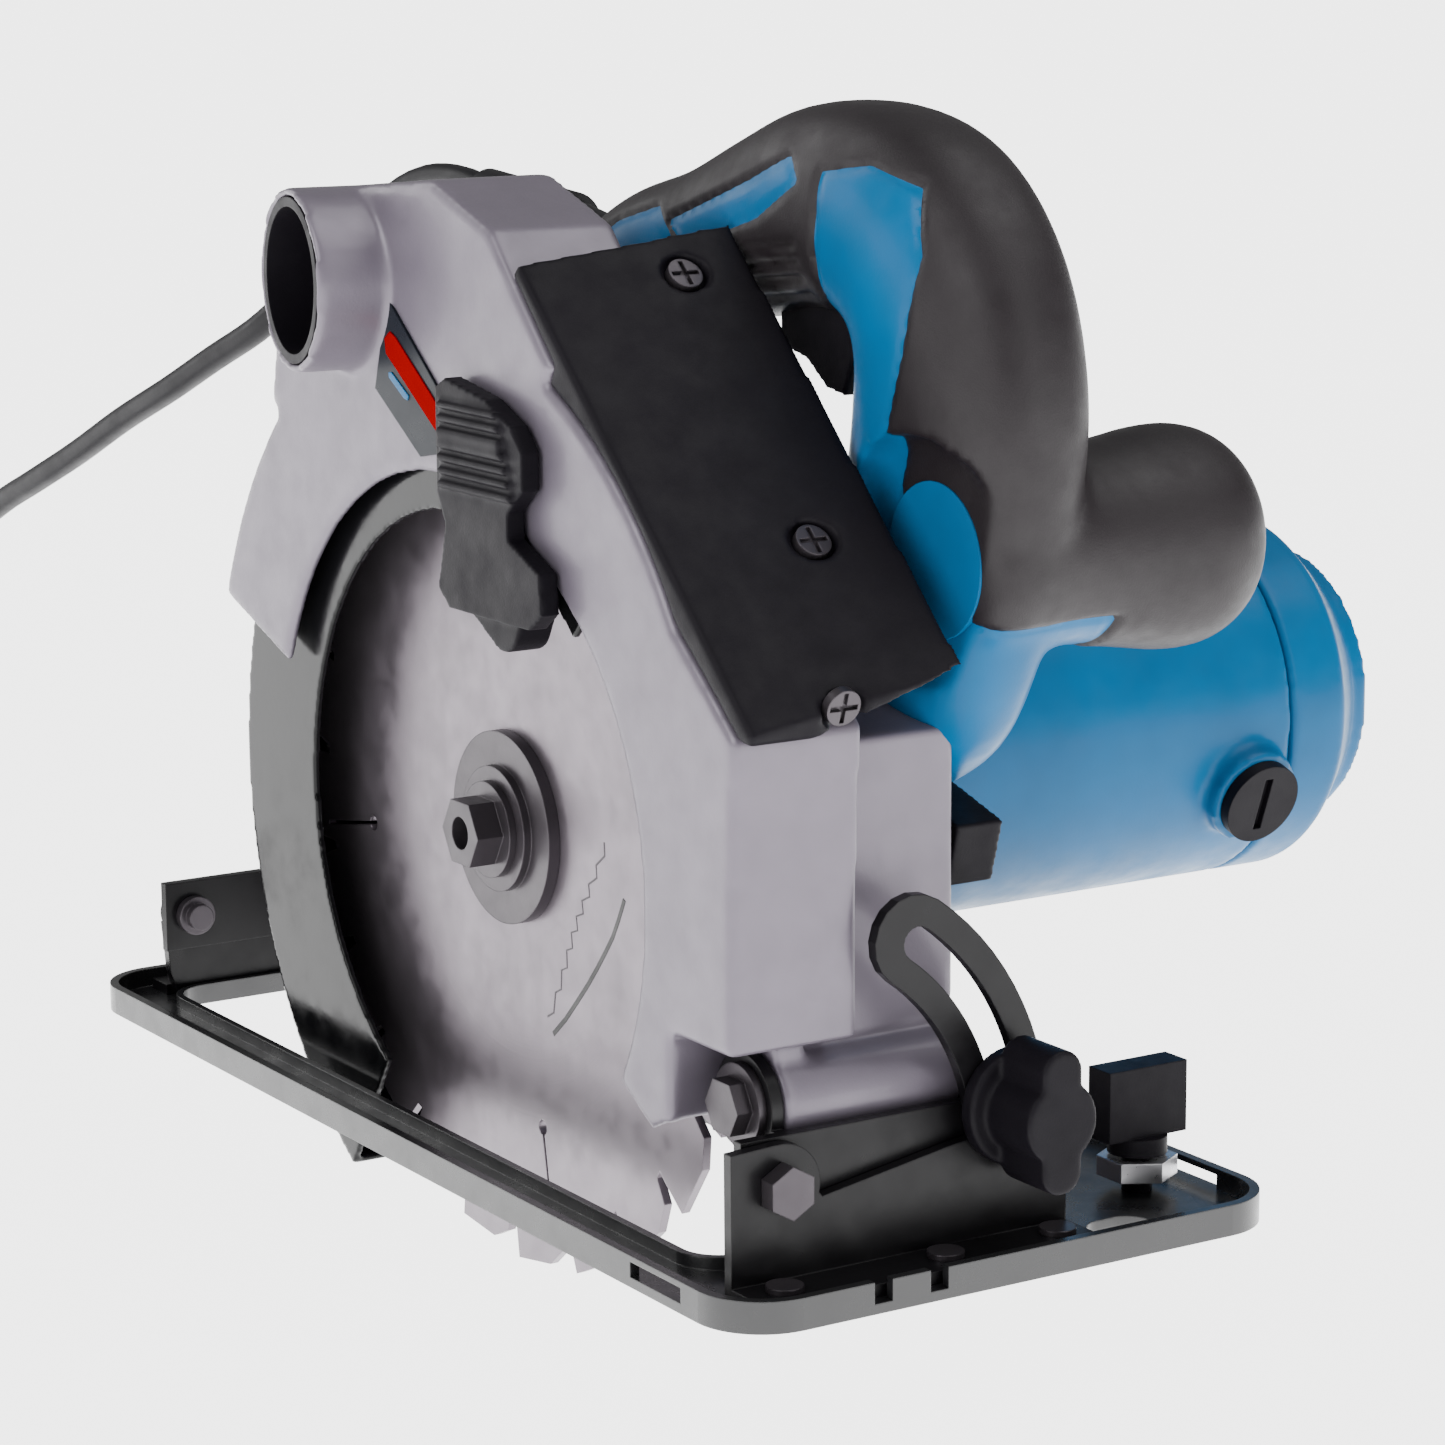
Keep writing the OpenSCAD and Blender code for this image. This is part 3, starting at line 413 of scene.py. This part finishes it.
# ---- lofted and split forms ----
def loft(name, rings, closed=True):
    """A tube through rings of points, each ring the same number of points, with end caps if closed."""
    bm = bmesh.new()
    rows = [[bm.verts.new(Vector(p) * mm) for p in ring] for ring in rings]
    for low, high in zip(rows, rows[1:]):
        for i in range(len(low)):
            j = (i + 1) % len(low)
            bm.faces.new((low[i], low[j], high[j], high[i]))
    if closed:
        bm.faces.new(list(reversed(rows[0])))
        bm.faces.new(rows[-1])
    bmesh.ops.recalc_face_normals(bm, faces=bm.faces)
    return mesh_object(name, bm)


def bar_ring(x, z, heading, half_y, half_n, power=2.5, sides=32, y=handle_y):
    """A superellipse round a point of a bar that runs in the XZ plane at heading degrees."""
    across = Vector((-math.sin(math.radians(heading)), 0, math.cos(math.radians(heading))))
    ring = []
    for i in range(sides):
        a = 2 * math.pi * i / sides
        c, s = math.cos(a), math.sin(a)
        ring.append(Vector((x, y, z)) + half_n * math.copysign(abs(c) ** (2 / power), c) * across
                    + Vector((0, half_y * math.copysign(abs(s) ** (2 / power), s), 0)))
    return ring


def turned(name, x, z, profile, sides=48):
    """A solid of revolution round a line along Y, from (y, radius) pairs."""
    rings = [[Vector((x + r * math.cos(2 * math.pi * i / sides), y, z + r * math.sin(2 * math.pi * i / sides)))
              for i in range(sides)] for y, r in profile]
    return loft(name, rings)


def joined(name, objects):
    bm = bmesh.new()
    for obj in objects:
        bm.from_mesh(obj.data)
        bpy.data.objects.remove(obj)
    return mesh_object(name, bm)


def carved(obj, cutter):
    """Obj remeshed into one solid, with the cutter's volume taken away."""
    union = remeshed(obj, 1.2, 6)
    cut = union.modifiers.new("cut", "BOOLEAN")
    cut.operation = "DIFFERENCE"
    cut.solver = "EXACT"
    cut.object = cutter
    applied(union)
    bpy.data.objects.remove(cutter)
    return union


def points_of(obj):
    """Vertex places in millimetres and vertex normals."""
    count = len(obj.data.vertices)
    co, no = np.zeros(count * 3), np.zeros(count * 3)
    obj.data.vertices.foreach_get("co", co)
    obj.data.vertices.foreach_get("normal", no)
    return co.reshape(-1, 3) / mm, no.reshape(-1, 3)


def move_points(obj, places):
    obj.data.vertices.foreach_set("co", (places * mm).ravel())
    obj.data.update()


def outline_distance(points, outline):
    """Signed distance of 2-D points from a closed outline, negative inside."""
    best = np.full(len(points), 1e9)
    inside = np.zeros(len(points), bool)
    corners = np.array(outline, float)
    for a, b in zip(corners, np.roll(corners, -1, axis=0)):
        edge = b - a
        t = np.clip(((points - a) @ edge) / (edge @ edge), 0, 1)
        best = np.minimum(best, np.linalg.norm(points - a - t[:, None] * edge, axis=1))
        crosses = (a[1] > points[:, 1]) != (b[1] > points[:, 1])
        with np.errstate(divide="ignore", invalid="ignore"):
            at = a[0] + (points[:, 1] - a[1]) * edge[0] / edge[1]
        inside ^= crosses & (points[:, 0] < at)
    return np.where(inside, -best, best)


def split_at(obj, field, name_low, name_high):
    """Cuts a mesh along the line where field, one value per vertex, is zero. Returns both parts."""
    bm = bmesh.new()
    bm.from_mesh(obj.data)
    value = bm.verts.layers.float.new("side")
    field = np.where(np.abs(field) < 1e-4, 1e-4, field)
    for v, f in zip(bm.verts, field):
        v[value] = f
    for edge in list(bm.edges):
        a, b = edge.verts
        fa, fb = a[value], b[value]
        if fa * fb < 0:
            _, made = bmesh.utils.edge_split(edge, a, fa / (fa - fb))
            made[value] = 0.0
    for face in list(bm.faces):
        cut = [v for v in face.verts if v[value] == 0.0]
        if len(cut) == 2 and not any(v in e.verts for e in cut[0].link_edges for v in cut[1:]):
            bmesh.utils.face_split(face, cut[0], cut[1])
    parts = []
    for name, low in ((name_low, True), (name_high, False)):
        part = bm.copy()
        layer = part.verts.layers.float["side"]
        gone = [f for f in part.faces if (sum(v[layer] for v in f.verts) > 0) == low]
        bmesh.ops.delete(part, geom=gone, context="FACES")
        parts.append(shaded(mesh_object(name, part)))
    bm.free()
    bpy.data.objects.remove(obj)
    return parts


# ---- tie round the coil ----
tie_angle, tie_width, tie_thick, tie_corner = math.radians(20), 8.0, 0.4, 3.0
tie_out = Vector((math.cos(tie_angle), math.sin(tie_angle), 0))
tie_side = Vector((-tie_out.y, tie_out.x, 0))
tie_mid = Vector((coil_at.x, coil_at.y, 0)) + (turn_r[0] + turn_r[2]) / 2 * tie_out
tie_half = ((turn_r[0] - turn_r[2] + cord_d) / 2, (coil_high.z - coil_low.z - tie_thick) / 2)
tie_steps = 40
tie_rings = []
for i in range(tie_steps + 1):
    angle = 2 * math.pi * (i % tie_steps) / tie_steps
    c, s = math.cos(angle), math.sin(angle)
    corner = [math.copysign(half - tie_corner, v) for half, v in zip(tie_half, (c, s))]
    ring = []
    for reach, across in ((0, -1), (tie_thick, -1), (tie_thick, 1), (0, 1)):
        spread = tie_corner + reach
        ring.append(tie_mid + (corner[0] + spread * c) * tie_out + across * tie_width / 2 * tie_side
                    + Vector((0, 0, coil_at.z + tie_thick / 2 + corner[1] + spread * s)))
    tie_rings.append(ring)
cord_tie = loft("cord_tie", tie_rings, closed=False)
seam = bmesh.new()
seam.from_mesh(cord_tie.data)
bmesh.ops.remove_doubles(seam, verts=seam.verts, dist=1e-6)
bmesh.ops.recalc_face_normals(seam, faces=seam.faces)
seam.to_mesh(cord_tie.data)
seam.free()
placed(cord_tie, "saw_body", "black_plastic")


# ---- main handle: rubber body with blue shell panels, and the front grip ----
# along the bar: x, z, heading in degrees, half width along Y, half width across the bar
bar = [(0, 90, 128, 13.5, 16), (-12, 103, 122, 14.5, 18), (-20, 118, 102, 15, 19.5), (-24, 135, 92, 15.5, 20),
       (-25, 155, 86, 16, 19), (-20, 172, 55, 16.5, 17.5), (-6, 181, 27, 16.5, 16), (14, 186, 18, 16.2, 16),
       (34, 191, 15, 16.2, 18.5), (52, 195.5, 10, 16.6, 20), (70, 195, -8, 17, 21.5), (84, 189, -32, 17, 24),
       (93, 177, -60, 17, 26), (96, 161, -84, 17, 27.5), (94, 145, -94, 16.5, 28), (91, 130, -96, 16, 27),
       (87, 118, -102, 15, 25), (80, 105, -122, 14.5, 22), (66, 94, -138, 13.5, 17)]
grip_x, grip_z = 100, 133
grip_profile = [(35.5, 13.5), (36, 17.5), (38.5, 20), (46, 20.4), (60, 19.2), (72, 20), (84, 21.8), (93, 21.4),
                (100, 17.5), (104, 10), (105, 3)]
cap_profile = [(10, 24), (33.5, 24), (34.8, 21.8)]
handle = loft("handle_solid", [bar_ring(x, z, heading, y, n) for x, z, heading, y, n in spline(bar, 4)])
grip = turned("grip_solid", grip_x, grip_z, [(y, max(r, 1.0)) for y, r in spline(grip_profile, 3)])
handle = carved(joined("handle_body", [handle, grip]), turned("cap_room", grip_x, grip_z, cap_profile))
handle = remeshed(handle, 1.2, 8)
place, normal = points_of(handle)
xz = place[:, [0, 2]]
# outlines of the blue shell's panels in XZ
column_panel = [(70, 204), (84, 206), (98, 202.5), (102, 190), (98, 172), (93, 158), (88, 146), (92, 130),
                (118, 120), (112, 70), (30, 80), (48, 122), (54, 140), (60, 160), (63, 176), (67, 180)]
rear_panel = [(-70, 70), (-70, 168), (-44, 172), (-26, 181), (-8, 190), (8, 194), (15, 188), (10, 176),
              (8, 150), (20, 112), (20, 70)]
strip = [(13, 191), (30, 196.5), (44, 201), (58, 206.5), (62, 201.5), (47, 193.5), (32, 189.5), (19, 187)]
blue_side = np.minimum(outline_distance(xz, column_panel), outline_distance(xz, rear_panel))
off_middle = np.abs(place[:, 1] - handle_y)
strip_side = np.where(off_middle > 6, outline_distance(xz, strip), 9.0)
blue_side = np.minimum(blue_side, strip_side)
blue_end_y = 66                      # nothing is blue beyond this
blue_side = np.maximum(blue_side, place[:, 1] - blue_end_y)
# fine ribs low on the bar's sides, a groove round each panel, and the panels set slightly in
rib_middle, rib_pitch, rib_depth, groove_depth, panel_depth = 40, 3.4, 1.3, 0.9, 0.5
window = (np.clip((place[:, 0] - 22) / 4, 0, 1) * np.clip((63 - place[:, 0]) / 4, 0, 1)
          * np.clip((off_middle - 9) / 3, 0, 1)
          * np.clip((188 - place[:, 2] + 0.2 * (place[:, 0] - rib_middle)) / 3, 0, 1))
along = place[:, 2] - 0.12 * (place[:, 0] - rib_middle)
wave = 0.5 + 0.5 * np.cos(2 * math.pi * along / rib_pitch)
ribs = rib_depth * window * wave * np.clip(blue_side / 2, 0, 1)
groove = groove_depth * np.exp(-(blue_side / 0.7) ** 2)
blue_sunk = panel_depth * np.clip(-blue_side / 0.8, 0, 1)
move_points(handle, place - normal * (ribs + groove + blue_sunk)[:, None])
handle_blue, handle_rubber = split_at(handle, blue_side, "handle_shells", "handle_rubber")
placed(handle_blue, "saw_body", "blue_plastic", ["handle_shell_right", "handle_shell_left"])
placed(handle_rubber, "saw_body", "grip_rubber", ["handle_overmold", "front_grip"])


# ---- badge stripes ----
def prism(name, outline, y0, y1):
    """A plate from a closed XZ outline between two heights along Y."""
    return loft(name, [[Vector((x, y, z)) for x, z in outline] for y in (y0, y1)])


badge_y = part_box("name_badge")[0].y / mm
stripe_back = badge_y + 0.3          # both stripes reach this far into the plate
red_bar = prism("badge_bar", [(-18.9, 167.6), (-16.6, 169.2), (-14.2, 168.2), (5.4, 154.6), (5.4, 152.2),
                              (3.6, 150.4), (1.6, 151.4), (-18.4, 164.6)], badge_y - 0.25, stripe_back)
coat_with(red_bar, finish["badge_stripe"])
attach(red_bar, "saw_body")
blue_dash = prism("badge_dash", [(-17.6, 160.8), (-16.4, 161.0), (-9.2, 156.9), (-9.6, 155.9), (-11, 156.1),
                                 (-17.4, 159.8)], badge_y - 0.2, stripe_back)
placed(blue_dash, "saw_body", "blue_plastic")


# ---- lines on the blade that stand for its laser-cut slots ----
def blade_line(name, places, width, material):
    """A thin line inlaid in the blade's near face, through (degrees, radius) places round the arbor."""
    line = [Vector((r * math.cos(math.radians(a)), 0, arbor_z / mm + r * math.sin(math.radians(a))))
            for a, r in places]
    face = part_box("blade")[0].y / mm
    proud, sunk = -0.06, 0.2
    rings = []
    for i, at in enumerate(line):
        along = (line[min(i + 1, len(line) - 1)] - line[max(i - 1, 0)]).normalized()
        side = Vector((-along.z, 0, along.x)) * width / 2
        rings.append([at + s * side + Vector((0, face + dy, 0))
                      for s, dy in ((1, proud), (1, sunk), (-1, sunk), (-1, proud))])
    return placed(loft(name, rings), "spindle_group", material)


blade_line("blade_arc_slot", [(-8.2, 45.4), (-14.5, 44), (-20.8, 42.9), (-27, 41.7), (-33.7, 40.9), (-42, 40.5),
                              (-50.7, 40.7), (-60, 41.9), (-68.6, 43.5)], 1.1, "carbon")
zig_step, zig_reach = 4.2, 0.9
zig = [(-70 + zig_step * k,
        30.2 + (abs(-40 + zig_step * k) / 13) ** 2 * 1.1 + (zig_reach if k % 2 else -zig_reach))
       for k in range(19)]
blade_line("blade_damper", zig, 0.45, "dark_steel")
